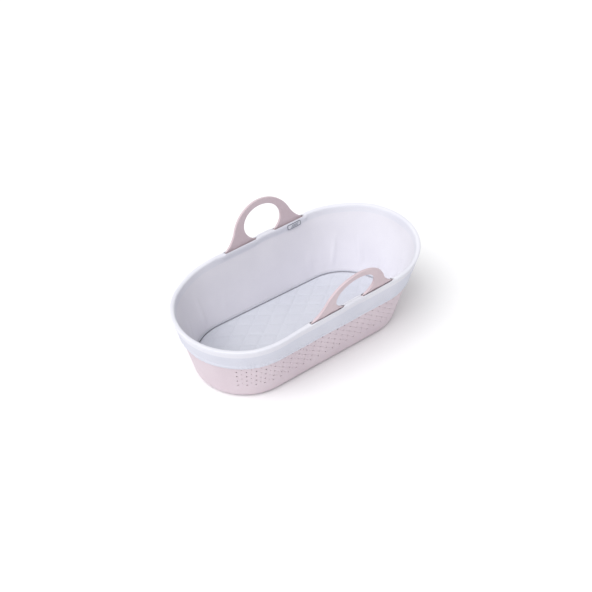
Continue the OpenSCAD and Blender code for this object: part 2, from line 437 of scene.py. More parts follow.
SHELL = plastic("shell_plastic", rgba(214, 200, 208), rgba(207, 192, 201))
HANDLE = plastic("handle_plastic", rgba(208, 190, 196), rgba(202, 183, 190), 1.2)
LINER = cloth("liner_cloth", rgba(240, 238, 245), rgba(234, 232, 240))
RIM_CLOTH = cloth("rim_cloth", rgba(236, 236, 244), rgba(229, 229, 239))
SKIRT_CLOTH = cloth("skirt_cloth", rgba(223, 224, 236), rgba(216, 218, 231))
MATTRESS = cloth("mattress_cloth", rgba(207, 209, 218), rgba(202, 204, 214), 0.0014, 0.6, False)
THREAD = cloth("thread", rgba(246, 246, 250), rgba(238, 238, 245), 0.0004, 0.3, False)
TAPE = cloth("tape", rgba(243, 243, 249), rgba(234, 235, 243), 0.0008, 0.6, False)
LABEL_GREY = cloth("label_border", rgba(134, 137, 150), rgba(124, 127, 141), 0.0005, 0.5, False)
LABEL_PALE = cloth("label_ground", rgba(228, 229, 237), rgba(220, 221, 230), 0.0005, 0.5, False)


def foam():
    """Open-cell foam: a cream block full of small pores, with painted shade in them."""
    n = Nodes("foam")
    place_in = n.add("ShaderNodeTexCoord").outputs["Object"]
    cells = n.add("ShaderNodeTexVoronoi", {"Vector": place_in, "Scale": 700.0}).outputs[0]
    cloud = n.noise(place_in, 18.0, 3.0)
    base = n.mix(n.spread(cloud, 0.3, 0.7, 0.0, 1.0), rgba(246, 236, 208), rgba(240, 228, 196))
    # Painted shade: the pores, low in the bump, are mixed towards a darker cream.
    base = n.mix(n.spread(cells, 0.0, 0.5, 0.35, 0.0), base, rgba(190, 176, 140))
    n.link(base, "Base Color")
    n.link(n.bump(cells, 0.6, 0.0006), "Normal")
    n.fix("Roughness", 0.95)
    return n.material


def elastic():
    """Woven elastic: ribs across the band."""
    n = Nodes("elastic")
    place_in = n.add("ShaderNodeTexCoord").outputs["Object"]
    split = n.add("ShaderNodeSeparateXYZ", {0: place_in}).outputs
    ribs = n.math("SINE", n.math("MULTIPLY", split[2], 2 * math.pi / 0.0012))
    n.link(n.mix(n.spread(ribs, -1.0, 1.0, 0.0, 0.35), rgba(244, 244, 244), rgba(206, 206, 210)),
           "Base Color")
    n.link(n.bump(ribs, 0.6, 0.0003), "Normal")
    n.fix("Roughness", 0.8)
    return n.material


# -------------------- shell

def hole_radius(cell, row):
    """Radius of the air hole in a cell, or none. Cells and rows are counted in half pitches."""
    if abs(cell) > 2 * HOLES_EACH_WAY or not 0 <= row <= 2 * HOLE_ROWS - 2:
        return None
    if cell % 2 == 0 and row % 2 == 0:
        return HOLE_R
    if cell % 2 == 1 and row % 2 == 1:
        return SMALL_HOLE_R
    return None


CORNER_ROWS = 12          # rows of the shell's mesh round its corner
LOW_ROWS = 8              # and between the corner and the holes
TOP_ROWS = 12             # and above the holes
EDGE_BELOW_RIM = 0.0034   # shell's top edge under the liner's
EDGE_BELOW_AXIS = 0.003   # and under a handle's axis, where the rail is
HALF_ROW = ROW_PITCH / 2
HOLES_LOW = HOLE_FIRST_Z - HALF_ROW / 2      # lower edge of the first row of cells
SHELL_V = 0.003           # step of the shell's UV from row to row
HOLE_LIP = ((0.0007, 0.0), (0.00022, 0.00018), (0.0, 0.0007))      # wider by, and sunk by


def shell_heights(p, depth):
    """Rows of the wall: below the holes, through them in quarter cells, and up to the top edge."""
    foot = wall_foot(depth)
    high = HOLES_LOW + (2 * HOLE_ROWS - 1) * HALF_ROW
    rows = [foot + (HOLES_LOW - foot) * k / LOW_ROWS for k in range(LOW_ROWS)]
    rows += [HOLES_LOW + HALF_ROW / 4 * k for k in range(4 * (2 * HOLE_ROWS - 1))]
    u = along_handle(p)
    axis_line = RIM + math.tan(RIM_PITCH) * (HANDLE_X + u) - ROOT_DEPTH
    top = np.where(np.abs(u) < ROOT_HALF + 0.002, axis_line - EDGE_BELOW_AXIS,
                   rim_at(p) - EDGE_BELOW_RIM)
    grid = [np.full(len(p), z) for z in rows]
    grid += [high + (top - high) * k / TOP_ROWS for k in range(TOP_ROWS + 1)]
    return np.array(grid)


def along_handle(p):
    """Distance along X from the handles' middle, large on the round ends."""
    cx, nx, ny = station(p)
    return np.where(np.abs(nx) < 1e-6, cx - HANDLE_X, 9.0)


def build_shell():
    """Both faces of the tub, with each air hole cut through, its lips rounded and its edge closed."""
    p = columns(4)
    nc = len(p)
    pn = list(p) + [p[0] + LAP]
    verts, faces, uvs = [], [], []

    def skin(depth):
        """Adds the points of one face of the wall, from the base's edge up. Returns row starts."""
        rows = corner_rows(p, depth, CORNER_ROWS, CORNER_ROWS)
        for z in shell_heights(p, depth):
            rows.append(place(p, wall_r(z, depth), z))
        start = len(verts)
        verts.extend(np.array(rows).reshape(-1, 3))
        return start, len(rows)

    cell_of = {}
    for c in range(0, nc, 4):
        middle = (p[c] + pn[c + 4]) / 2
        q = (middle + QUARTER) % LAP - QUARTER
        q = q - 2 * QUARTER if q > QUARTER else q
        k = round(q / (HOLE_PITCH / 2))
        cell_of[c] = (k, middle) if abs(q - k * HOLE_PITCH / 2) < 1e-4 else (10 ** 6, middle)

    def add_face(quad, uv, back=False):
        faces.append(quad[::-1] if back else quad)
        uvs.extend(uv[::-1] if back else uv)

    starts, rings = {}, {}
    for depth, back in ((0.0, False), (WALL, True)):
        start, nrows = skin(depth)
        starts[depth] = start
        holes = {}
        for (c, (cell, middle)) in cell_of.items():
            for row in range(2 * HOLE_ROWS - 1):
                r = hole_radius(cell, row)
                if r:
                    holes[(c, CORNER_ROWS + LOW_ROWS + 4 * row)] = (
                        middle, HOLES_LOW + (row + 0.5) * HALF_ROW, r)
        covered = {(c + i, r + j) for (c, r) in holes for i in range(4) for j in range(4)}
        for k, quad in enumerate(grid_faces(nrows, nc)):
            r, c = divmod(k, nc)
            if (c, r) not in covered:
                add_face([start + i for i in quad],
                         quad_uv(pn[c], pn[c + 1], r * SHELL_V, r * SHELL_V + SHELL_V), back)
        for key in sorted(holes):
            c, r = key
            middle, z_mid, radius = holes[key]
            border = ([(c + i, r) for i in range(4)] + [(c + 4, r + j) for j in range(4)]
                      + [(c + 4 - i, r + 4) for i in range(4)] + [(c, r + 4 - j) for j in range(4)])
            loop = [start + rr * nc + cc % nc for cc, rr in border]
            angles = [math.atan2((rr - r - 2) * HALF_ROW / 4, (cc - c - 2) * HOLE_PITCH / 2 / 4)
                      for cc, rr in border]
            curved = abs(((middle + QUARTER) % (2 * QUARTER)) - QUARTER) > STRAIGHT / 2
            stretch = REF_R / wall_r(z_mid, 0) if curved else 1.0
            previous = loop
            for wider, sunk in HOLE_LIP:
                ring_r = radius + wider
                d = depth + sunk if depth == 0 else depth - sunk
                pp = np.array([middle + ring_r * math.cos(a) * stretch for a in angles])
                zz = np.array([z_mid + ring_r * math.sin(a) * math.cos(FLARE) for a in angles])
                base = len(verts)
                verts.extend(place(pp, wall_r(zz, d), zz))
                ring = [base + i for i in range(16)]
                for quad in bridge(previous, ring):
                    add_face(quad, [(middle, z_mid)] * 4, back)
                previous = ring
            rings.setdefault(key, []).append(previous)
        floor = [start + c for c in range(nc)]
        add_face(floor, [(verts[i][0], verts[i][1]) for i in floor], not back)
    edges = [rings[key] for key in sorted(rings)]
    edges.append([[starts[d] + (nrows - 1) * nc + c for c in range(nc)] for d in (0.0, WALL)])
    for outer, inner in edges:
        for quad in bridge(outer, inner):
            add_face(quad, [(0, 0)] * 4)
    obj = new_object("shell_moulding", verts, faces, uvs)
    finish_piece(obj, "basket", SHELL, ["shell"])
    return obj


# -------------------- handles

AXIS_Z = RIM + math.tan(RIM_PITCH) * HANDLE_X - ROOT_DEPTH
AXIS_Y = BASE_R + SLOPE * AXIS_Z - WALL / 2 * GROW
YAW = math.atan(SLOPE * math.tan(RIM_PITCH))
HAND_Z = BEAD_R + 0.002 + HAND_B
GRIP_Z = ROOT_DEPTH + 0.004
STEP_HALF = 0.0012        # half the height over which the web thickens to the grip
EDGE_ROUND = 0.0022       # radius of the grip's edges


def on_axis(side, u, out, up):
    """Points from a handle's own frame: along its axis, outwards and up. side is 1 for +Y."""
    u, out, up = np.broadcast_arrays(u, out, up)
    x = u * math.cos(RIM_PITCH) - up * math.sin(RIM_PITCH)
    z = u * math.sin(RIM_PITCH) + up * math.cos(RIM_PITCH)
    y = -out
    px = x * math.cos(YAW) + y * math.sin(YAW) + HANDLE_X
    py = -x * math.sin(YAW) + y * math.cos(YAW) - AXIS_Y
    return np.stack([px, -side * py, z + AXIS_Z], -1)


def handle_edge(angle):
    """Distance from the hand hole's centre to the handle's outline, along a direction."""
    tip = math.hypot(ROOT_HALF, ARCH_CENTRE)
    tip_fall = math.asin(ARCH_CENTRE / tip)
    reach = ARCH_R + FLARE_R
    tangent = math.acos((reach ** 2 + tip ** 2 - FLARE_R ** 2) / (2 * reach * tip)) - tip_fall
    arch_z = ROOT_DEPTH + ARCH_CENTRE
    flare_x, flare_z = reach * math.cos(tangent), arch_z + reach * math.sin(tangent)
    dx, dz = abs(math.cos(angle)), math.sin(angle)

    def circle(cx, cz, r, far):
        b = dx * cx + dz * (cz - HAND_Z)
        c = cx ** 2 + (cz - HAND_Z) ** 2 - r ** 2
        disc = b * b - c
        return None if disc < 0 else b + (1 if far else -1) * math.sqrt(disc)

    t = circle(0, arch_z, ARCH_R, True)
    if HAND_Z + t * dz >= arch_z + ARCH_R * math.sin(tangent):
        return t
    t = circle(flare_x, flare_z, FLARE_R, False)
    if t is not None and HAND_Z + t * dz >= ROOT_DEPTH:
        return t
    t = ROOT_HALF / dx if dx > 1e-6 else 9
    return t if HAND_Z + t * dz >= 0 else -HAND_Z / dz


def build_handle(side, name):
    """Rings round the plate's section, taken all round the hand hole, and the bead at the root."""
    corner = math.atan2(ROOT_DEPTH - HAND_Z, ROOT_HALF)
    low = math.atan2(-HAND_Z, ROOT_HALF)
    stops = [-math.pi / 2, low, corner, math.pi / 2]
    turns = []
    for a, b, n in zip(stops[:-1], stops[1:], (22, 4, 70)):
        turns += [a + (b - a) * k / n for k in range(n)]
    turns += [math.pi - a for a in [math.pi / 2] + turns[:0:-1]]
    rounding = [math.radians(15 * k) for k in range(7)]
    rows = []
    for a in turns:
        edge = handle_edge(a)
        hole = 1 / math.hypot(math.cos(a) / HAND_A, math.sin(a) / HAND_B)
        band = edge - hole
        ring = []
        for face in (1, -1):
            radii = [(hole, 0, t) for t in rounding]
            radii += [(hole + band * f, None, 0) for f in (0.25, 0.5, 0.75)]
            radii += [(edge, 1, t) for t in reversed(rounding)]
            half_ring = []
            for rad, end, t in radii:
                z_here = HAND_Z + rad * math.sin(a)
                grip = float(smooth((z_here - GRIP_Z + STEP_HALF) / (2 * STEP_HALF)))
                half = (WEB_T + (GRIP_T - WEB_T) * grip) / 2
                r = min(EDGE_ROUND, half * 0.8, band * 0.4)
                if end == 0:
                    rad, out = rad + r * (1 - math.cos(t)), half - r * (1 - math.sin(t))
                elif end == 1:
                    rad, out = rad - r * (1 - math.cos(t)), half - r * (1 - math.sin(t))
                else:
                    out = half
                half_ring.append((rad, face * out))
            ring += half_ring if face == 1 else half_ring[::-1]
        rows.append([(rad * math.cos(a), out, HAND_Z + rad * math.sin(a)) for rad, out in ring])
    rows = np.array(rows)
    u, out, up = rows[..., 0], rows[..., 1], rows[..., 2]
    pts = on_axis(side, u, up * math.sin(LEAN) + out * math.cos(LEAN),
                  up * math.cos(LEAN) - out * math.sin(LEAN))
    obj = new_object(name + "_moulding", pts.reshape(-1, 3),
                     turned(grid_faces(*pts.shape[:2], closed=True)))
    face_outwards(obj)
    bead = tube(name + "_bead", on_axis(side, np.linspace(-ROOT_HALF, ROOT_HALF, 60), 0.0, 0.0),
                BEAD_R, 20)
    union(obj, bead)
    finish_piece(obj, name, HANDLE, [name])


def tube(name, path, radius, sides, closed=False):
    """Round tube along a path."""
    path = np.asarray(path, float)
    n = len(path)
    ahead = np.roll(path, -1, 0) - np.roll(path, 1, 0)
    if not closed:
        ahead[0], ahead[-1] = path[1] - path[0], path[-1] - path[-2]
    ahead /= np.linalg.norm(ahead, axis=1)[:, None]
    side = np.cross(ahead, (0.0, 0.0, 1.0))
    side /= np.linalg.norm(side, axis=1)[:, None]
    over = np.cross(side, ahead)
    turn = np.linspace(0, 2 * math.pi, sides, endpoint=False)
    pts = (path[:, None] + radius * (np.cos(turn)[None, :, None] * side[:, None]
                                     + np.sin(turn)[None, :, None] * over[:, None]))
    faces = turned(grid_faces(n, sides, closed))
    if not closed:
        faces.append(tuple(range(sides)))
        faces.append(tuple((n - 1) * sides + k for k in reversed(range(sides))))
    obj = new_object(name, pts.reshape(-1, 3), faces)
    face_outwards(obj)
    return obj


def union(obj, other):
    m = obj.modifiers.new("union", "BOOLEAN")
    m.operation = "UNION"
    m.solver = "EXACT"
    m.object = other
    apply_modifiers(obj)
    bpy.data.objects.remove(other)


def join(obj, others):
    """Adds other objects' meshes to obj."""
    with editing(obj.data) as bm:
        for other in others:
            bm.from_mesh(other.data)
            bpy.data.objects.remove(other)
    soften(obj.data)


RAIL_ROOM = 0.62          # radians that the rail's slot opens past the web's swing, each way
RAIL_PAST = 0.004         # how far the rail runs past the bead


def build_rail(side):
    """C-section along the shell's edge that holds a handle's bead."""
    slot_in, slot_out = LEAN - SWING_IN - RAIL_ROOM, LEAN + SWING_OUT + RAIL_ROOM
    start = math.pi / 2 - slot_in
    stop = math.pi / 2 - slot_out + 2 * math.pi
    turn = np.linspace(start, stop, 40)
    section = [(RAIL_R * math.cos(t), RAIL_R * math.sin(t)) for t in turn]
    section += [(RAIL_BORE * math.cos(t), RAIL_BORE * math.sin(t)) for t in turn[::-1]]
    u = np.linspace(-ROOT_HALF - RAIL_PAST, ROOT_HALF + RAIL_PAST, 40)
    rows = np.array([on_axis(side, x, np.array([q[0] for q in section]),
                             np.array([q[1] for q in section])) for x in u])
    n, m = rows.shape[:2]
    faces = turned(grid_faces(n, m))
    faces += [tuple(range(m)), tuple((n - 1) * m + c for c in reversed(range(m)))]
    obj = new_object("rail", rows.reshape(-1, 3), faces)
    face_outwards(obj)
    return obj


# -------------------- liner

LINER_IN = 0.0069         # depths from the shell's outer face
SKIRT_OUT = -0.0029
ROLL_BULGE = 0.003
CLOTH_T = 0.0013
ROLL_DROP = 0.0240        # height of the rim's roll
ROLL_ROWS = (ROLL_DROP, 0.0215, 0.019, 0.0165, 0.014, 0.0115, 0.009)      # drops below its top
ROLL_V = 0.0025           # step of the roll's UV from row to row
PUFF = 0.0008             # most that the padding swells the roll
SLIT_HALF = ROOT_HALF + 0.003
RISE = 0.0035             # how far the rim stands up between a handle's legs
LIP_ROOM_IN = 0.0017      # between a slit's lips and the web at the ends of its swing
LIP_ROOM_OUT = 0.0018
LIP_MEET = 0.0009         # half the gap between the lips where they close


def near_handle(p):
    """1 over a handle's rail, falling to 0 past its ends."""
    return 1 - smooth((np.abs(along_handle(p)) - ROOT_HALF - 0.004) / 0.040)


def between_legs(p):
    """1 where a slit's lips close between the handle's legs, 0 where a leg passes."""
    return 1 - smooth((np.abs(along_handle(p)) - 0.030) / 0.009)


def rim_top(p):
    """Height of the roll's top."""
    rise = RISE * (1 - smooth((np.abs(along_handle(p)) - 0.018) / 0.024))
    return rim_at(p) + 0.0015 - 0.0010 * near_handle(p) + rise


def crumple(p, drop, size):
    """Small uneven swelling of the padded cloth, never below 0."""
    cx, nx, ny = station(p)
    out = np.empty(len(p))
    for i, (a, b, c) in enumerate(zip(cx + 0.2 * nx, 0.2 * ny, drop + 0 * p)):
        out[i] = 0.5 + 0.5 * noise.noise(Vector((a, b, c)) / size)
    return np.clip(out, 0, 1)


def rim_rows(p):
    """Rows of the rim's skin, from inside, over the top, to the outside. Returns the two halves."""
    h = near_handle(p)
    top = rim_top(p)
    closed = between_legs(p)
    slit = np.abs(along_handle(p)) < SLIT_HALF + 0.00001
    d_in, d_out = LINER_IN + ROLL_BULGE * h, np.full(len(p), SKIRT_OUT - ROLL_BULGE)
    round_z = 0.0052 + 0.0008 * h
    # The lips' depths where a handle's web passes between them
    reach_in = ROOT_DEPTH * math.tan(LEAN - SWING_IN) - WEB_T / 2 - LIP_ROOM_IN
    reach_out = ROOT_DEPTH * math.tan(LEAN + SWING_OUT) + WEB_T / 2 + LIP_ROOM_OUT
    lip_in = WALL / 2 + (SLOPE * ROOT_DEPTH - reach_in) / GROW
    lip_out = WALL / 2 + (SLOPE * ROOT_DEPTH - reach_out) / GROW
    middle = (d_in + d_out) / 2
    lip_in = np.where(slit, lip_in + (middle + LIP_MEET - lip_in) * closed, middle)
    lip_out = np.where(slit, lip_out + (middle - LIP_MEET - lip_out) * closed, middle)
    halves = []
    for side, edge, lip in ((1, d_in, lip_in), (-1, d_out, lip_out)):
        rows = []
        flat = LINER_IN if side > 0 else SKIRT_OUT - ROLL_BULGE
        for drop in ROLL_ROWS:
            swell = smooth((ROLL_DROP - drop) / 0.018)
            puff = PUFF * swell * crumple(p, drop, 0.035)
            d = flat + (edge - flat) * swell + side * puff
            z = top - drop
            rows.append(place(p, wall_r(z, d), z))
        puff = PUFF * crumple(p, 0.004, 0.035)
        width = np.abs(edge - lip)
        run_in = np.minimum(round_z, width - 0.0004)
        for k in range(7):
            a = math.pi / 2 * k / 6
            d = edge + side * puff * math.cos(a) - side * run_in * (1 - math.cos(a))
            z = top - round_z * (1 - math.sin(a)) + 0.0006 * math.sin(a) * (puff / PUFF)
            rows.append(place(p, wall_r(z, d), z))
        z = top - np.where(slit, 0.0014, 0.0) + 0.0003
        rows.append(place(p, wall_r(z, lip), z))
        halves.append(np.array(rows))
    return halves, slit


def slit_columns():
    """Stations round the basket, with extra ones at the slits' ends."""
    p = list(columns(4))
    for middle in (0.0, 2 * QUARTER):
        for end in (-1, 1):
            u = end * SLIT_HALF
            q = HANDLE_X + u - MID_X
            p.append(q if middle == 0 else middle - q)
    return np.array(sorted((v + QUARTER) % LAP - QUARTER for v in p))


def build_rim():
    p = slit_columns()
    (inside, outside), slit = rim_rows(p)
    nc, rows = len(p), len(inside)
    verts = list(inside.reshape(-1, 3)) + list(outside.reshape(-1, 3))
    start_out = rows * nc
    pn = list(p) + [p[0] + LAP]

    def index(half, r, c):
        if half == 1 and r == rows - 1 and not slit[c]:
            return (rows - 1) * nc + c
        return half * start_out + r * nc + c

    faces, uvs = [], []
    for half in (0, 1):
        for r in range(rows - 1):
            for c in range(nc):
                c1 = (c + 1) % nc
                quad = [index(half, r, c), index(half, r, c1), index(half, r + 1, c1),
                        index(half, r + 1, c)]
                uv = quad_uv(pn[c], pn[c + 1], r * ROLL_V, r * ROLL_V + ROLL_V)
                faces.append(quad[::-1] if half == 0 else quad)
                uvs += uv[::-1] if half == 0 else uv
    obj = new_object("liner_rim_roll", verts, faces, uvs)
    with editing(obj.data) as bm:
        loose = [v for v in bm.verts if not v.link_faces]
        bmesh.ops.delete(bm, geom=loose, context="VERTS")
    thicken(obj, CLOTH_T)
    finish_piece(obj, "basket", RIM_CLOTH, ["liner_rim"])


TAPE_R = 0.00075          # radius of the tape's bound edge


def build_binding(side, name):
    """Bound edge round a slit, as one loop of tape."""
    u = np.linspace(-SLIT_HALF, SLIT_HALF, 121)
    q = HANDLE_X + u - MID_X
    p = q if side < 0 else 2 * QUARTER - q
    (inside, outside), _ = rim_rows(np.asarray(p))
    loop = np.concatenate([inside[-1], outside[-1][::-1]])
    loop[:, 2] += 0.0002
    obj = tube(name + "_tape", loop, TAPE_R, 8, closed=True)
    finish_piece(obj, "basket", TAPE, [name])


FOLDS = [
    # place round the basket from an end's middle, slant, width, height, lowest and highest
    (-0.235, 0.10, 0.010, 0.0030, 0.050, 0.190),
    (-0.160, -0.15, 0.008, 0.0026, 0.050, 0.160),
    (-0.085, 0.06, 0.012, 0.0032, 0.055, 0.215),
    (0.020, -0.08, 0.009, 0.0026, 0.050, 0.170),
    (0.105, 0.12, 0.011, 0.0030, 0.055, 0.200),
    (0.200, -0.10, 0.009, 0.0028, 0.050, 0.180),
    (0.300, 0.05, 0.012, 0.0022, 0.055, 0.150),
    (-0.330, -0.06, 0.012, 0.0022, 0.055, 0.150),
]


def fold_depth(p, z):
    """How far the liner wall's folds stand into the basket."""
    total = 0.0 * z
    for ends, scale in ((QUARTER, 1.0), (3 * QUARTER, 0.6)):
        for at, slant, width, height, low, high in FOLDS:
            line = ends + at + slant * (z - 0.12)
            away = (p - line + LAP / 2) % LAP - LAP / 2
            window = smooth((z - low) / 0.05) * (1 - smooth((z - high + 0.06) / 0.06))
            total = total + scale * height * window * np.exp(-(away / width) ** 2)
    return total


def build_liner_wall():
    p = columns(6)
    count = 46
    bottom = np.full(len(p), SEAM_Z)
    top = rim_top(p) - ROLL_DROP
    rows = []
    for k in range(count + 1):
        z = bottom + (top - bottom) * k / count
        fade = smooth((top - z) / 0.03) * smooth((z - 0.046) / 0.03)
        sway = 0.0012 * fade * crumple(p, k * 0.006, 0.09)
        rows.append(place(p, wall_r(z, LINER_IN + fold_depth(p, z) * smooth((top - z) / 0.03)
                                    + sway), z))
    obj = loft("liner_wall_cloth", p, rows)
    flip(obj)
    thicken(obj, CLOTH_T)
    finish_piece(obj, "basket", LINER, ["liner_wall"])


def build_liner_floor():
    """Cloth over the flat floor and up the corner to the seam."""
    p = columns(2)
    outer = corner_rows(p, LINER_IN, 10, 11)
    seam = np.full(len(p), SEAM_Z)
    outer.append(place(p, wall_r(seam, LINER_IN), seam))
    inner = []
    for share in (0.02, 0.35, 0.6, 0.8, 0.93):
        ring = outer[0].copy()
        ring[:, 1] *= share
        inner.append(ring)
    obj = loft("liner_floor_cloth", p, np.array(inner + outer))
    seal_inside(obj, len(p))
    flip(obj)
    thicken(obj, CLOTH_T)
    finish_piece(obj, "basket", LINER, ["liner_floor"])


def seal_inside(obj, count):
    """Closes the narrow slot left in the middle of a floor, and faces the floor downwards."""
    with editing(obj.data) as bm:
        bm.verts.ensure_lookup_table()
        ring = [bm.verts[i] for i in range(count)]
        bmesh.ops.contextual_create(bm, geom=ring)
        bmesh.ops.triangulate(bm, faces=[f for f in bm.faces if len(f.verts) > 4])
        bmesh.ops.recalc_face_normals(bm, faces=bm.faces)
        if sum(f.normal.z for f in bm.faces) > 0:
            bmesh.ops.reverse_faces(bm, faces=bm.faces)


def puckers(p, above_hem):
    """Gathers along the hem, deepest in the casing and fading up the skirt."""
    uneven = np.sin(p * 61.0) + np.sin(p * 173.0 + 1.0)
    wave = (0.5 + 0.5 * np.sin(p * 2 * math.pi / 0.0115 + 1.6 * uneven))
    wave = wave * (0.55 + 0.45 * np.sin(p * 41.0 + 0.7))
    return 0.0018 * wave * (1 - smooth((above_hem - 0.004) / 0.040))


def build_skirt():
    p = columns(6)
    hem = hem_at(p)
    top = rim_top(p) - ROLL_DROP
    low = hem + HEM_HEIGHT
    rows = []
    count = 24
    for k in range(count + 1):
        z = top + (low - top) * k / count
        billow = 0.0016 * math.sin(math.pi * k / count) * crumple(p, k * 0.004, 0.12)
        out = puckers(p, z - hem) + billow + ROLL_BULGE * (1 - smooth(k / count))
        rows.append(place(p, wall_r(z, SKIRT_OUT - out), z))
    obj = loft("liner_skirt_cloth", p, rows)
    turn_outwards(obj)
    thicken(obj, CLOTH_T)
    finish_piece(obj, "basket", SKIRT_CLOTH, ["liner_skirt"])
    return obj


def turn_outwards(obj):
    """Turns an open wall's faces away from the middle."""
    if sum(f.normal.x * f.center.x + f.normal.y * f.center.y for f in obj.data.polygons) <= 0:
        flip(obj)


def build_hem():
    """Folded casing that the elastic runs in: a flat tube of cloth round the hem."""
    p = columns(6)
    hem = hem_at(p)
    outline = []
    for k in range(9):
        t = k / 8
        outline.append((HEM_HEIGHT * (1 - t), 0.0029 + 0.0016 * math.sin(math.pi * t) ** 0.7, 1.0))
    outline += [(-0.0004, 0.0020, 0.6), (0.0, 0.0010, 0.2)]
    outline += [(HEM_HEIGHT * k / 6, 0.0005, 0.0) for k in range(1, 7)]
    skin = []
    for above, out, share in outline:
        z = hem + above
        skin.append(place(p, wall_r(z, -out - share * puckers(p, z - hem)), z))
    obj = loft("hem_casing_cloth", p, skin, closed=True)
    face_outwards(obj)
    finish_piece(obj, "basket", SKIRT_CLOTH, ["hem_casing"])
    return obj


STITCH_PITCH = 0.0042
STITCH_LENGTH = 0.0026
THREAD_R = 0.00028


def build_hem_stitches():
    """Row of thread stitches above the casing, each a short bent rod half sunk in the cloth."""
    count = int(LAP / STITCH_PITCH)
    middles = -QUARTER + (np.arange(count) + 0.5) * STITCH_PITCH
    turn = np.linspace(0, 2 * math.pi, 6, endpoint=False)
    verts, faces = [], []
    along = np.linspace(-0.5, 0.5, 5)
    for m in middles:
        ps = m + along * STITCH_LENGTH
        lift = THREAD_R * (1.0 - 3.2 * along ** 2 * 1.6)
        hem = hem_at(ps)
        z = hem + HEM_HEIGHT + 0.0006
        d = SKIRT_OUT - puckers(ps, z - hem)
        base = len(verts)
        for k in range(5):
            size = THREAD_R * (1.0 if 0 < k < 4 else 0.45)
            for t in turn:
                zz = z[k] + size * math.sin(t)
                dd = d[k] - lift[k] - size * math.cos(t)
                verts.append(place(ps[k:k + 1], wall_r(np.array([zz]), dd), np.array([zz]))[0])
        faces += [tuple(base + i for i in quad) for quad in turned(grid_faces(5, 6))]
        faces.append(tuple(base + i for i in range(6)))
        faces.append(tuple(base + 24 + i for i in reversed(range(6))))
    obj = new_object("hem_stitches", verts, faces)
    face_outwards(obj)
    finish_piece(obj, "basket", THREAD)


# -------------------- label

LABEL_X = 0.140
LABEL_BELOW = 0.0125      # its middle, below the rim's edge
LABEL_HALF_LEN = 0.027
LABEL_HALF_HIGH = 0.008
LABEL_CORNER = 0.0045
LABEL_BARS = ((0.131, 0.157, 0.0104), (0.127, 0.153, 0.0146))      # from x, to x, below the rim


def label_point(x, below, lift):
    """Point on the rim's inner face on the +Y side, below the rim's edge."""
    q = 2 * QUARTER - (np.asarray(x, float) - MID_X)
    z = rim_top(q) - below
    return place(q, wall_r(z, LINER_IN + ROLL_BULGE * near_handle(q) + 0.0005 + lift), z)


def build_label():
    """Rounded border, pale ground, and two plain bars in place of a mark."""
    def loop(inset, lift, steps=6):
        pts = []
        for sx, sz, start in ((1, 1, 0), (-1, 1, 90), (-1, -1, 180), (1, -1, 270)):
            for k in range(steps + 1):
                a = math.radians(start + 90 * k / steps)
                r = max(LABEL_CORNER - inset, 0.0004)
                x = sx * (LABEL_HALF_LEN - LABEL_CORNER) + r * math.cos(a)
                z = sz * (LABEL_HALF_HIGH - LABEL_CORNER) + r * math.sin(a)
                pts.append((LABEL_X + x, LABEL_BELOW - z, lift))
        pts = np.array(pts)
        return label_point(pts[:, 0], pts[:, 1], pts[:, 2])

    def plate(name, insets, lifts):
        return closed_slab(name, [loop(inset, lift) for inset, lift in zip(insets, lifts)])

    border = plate("label_border", (0.0, 0.0, 0.0003, 0.0012), (-0.0004, 0.0006, 0.0008, 0.0008))
    finish_piece(border, "basket", LABEL_GREY, ["label"])
    ground = plate("label_ground", (0.0027, 0.0027, 0.0031), (0.0006, 0.0010, 0.0011))
    finish_piece(ground, "basket", LABEL_PALE)
    bars = []
    for k, (x0, x1, below) in enumerate(LABEL_BARS):
        xs = np.linspace(x0, x1, 12)
        bars.append(tube("bar%d" % k, label_point(xs, below, 0.0010), 0.0011, 8))
    join(bars[0], bars[1:])
    bars[0].name = "label_motif"
    finish_piece(bars[0], "basket", LABEL_GREY)


# -------------------- mattress

PAD_DEPTH = 0.0081        # the cover's outer face, from the shell's outer face
QUILT = 0.058             # pitch of the quilting's lines across their direction
QUILT_DEPTH = 0.0014
QUILT_WIDTH = 0.0045
CROWN = 0.0006            # how far the cover stands up between the lines
BLANK_SHRINK = 0.0025     # room that the simulation swells into
VOXEL = 0.006
SWELL_CAP = 0.006         # most that a point of the cover may move
PIPING_R = 0.0019
COVER_T = 0.0012
FOAM_LOW = 0.0110
FOAM_HIGH = 0.0365
FOAM_INSET = 0.0065       # inside the cover's outer face
FOAM_ROUND = 0.006


def pad_radius(z):
    """Distance from the centre line to the mattress's outer face at a height."""
    ball = CORNER_R - PAD_DEPTH
    drop = np.clip((CORNER_R - z) / ball, -1, 1)
    low = BASE_R - INSET + ball * np.sqrt(np.maximum(1 - drop ** 2, 0))
    return np.where(z > wall_foot(PAD_DEPTH), wall_r(z, PAD_DEPTH), low)


def mattress_blank(shrink):
    """Closed slab of the mattress's shape, smaller all round."""
    p = columns(1)
    rows = []
    z0, z1 = PAD_DEPTH + shrink, MATTRESS_TOP - shrink
    edge = 0.006
    for k in range(9):
        z = z0 + (z1 - z0) * k / 8
        r = pad_radius(np.full(len(p), z)) - shrink
        pull = edge * (1 - math.sqrt(max(0, 1 - max(0, (z - (z1 - edge)) / edge) ** 2)))
        rows.append(place(p, r - pull * 0.8, z))
    return closed_slab("mattress_pad", rows)


def remesh(obj, size):
    m = obj.modifiers.new("remesh", "REMESH")
    m.mode = "VOXEL"
    m.voxel_size = size
    apply_modifiers(obj)


def coords(obj):
    co = np.empty(len(obj.data.vertices) * 3, np.float32)
    obj.data.vertices.foreach_get("co", co)
    return co.reshape(-1, 3).astype(float)


def set_coords(obj, co):
    obj.data.vertices.foreach_set("co", np.asarray(co, np.float32).ravel())
    obj.data.update()


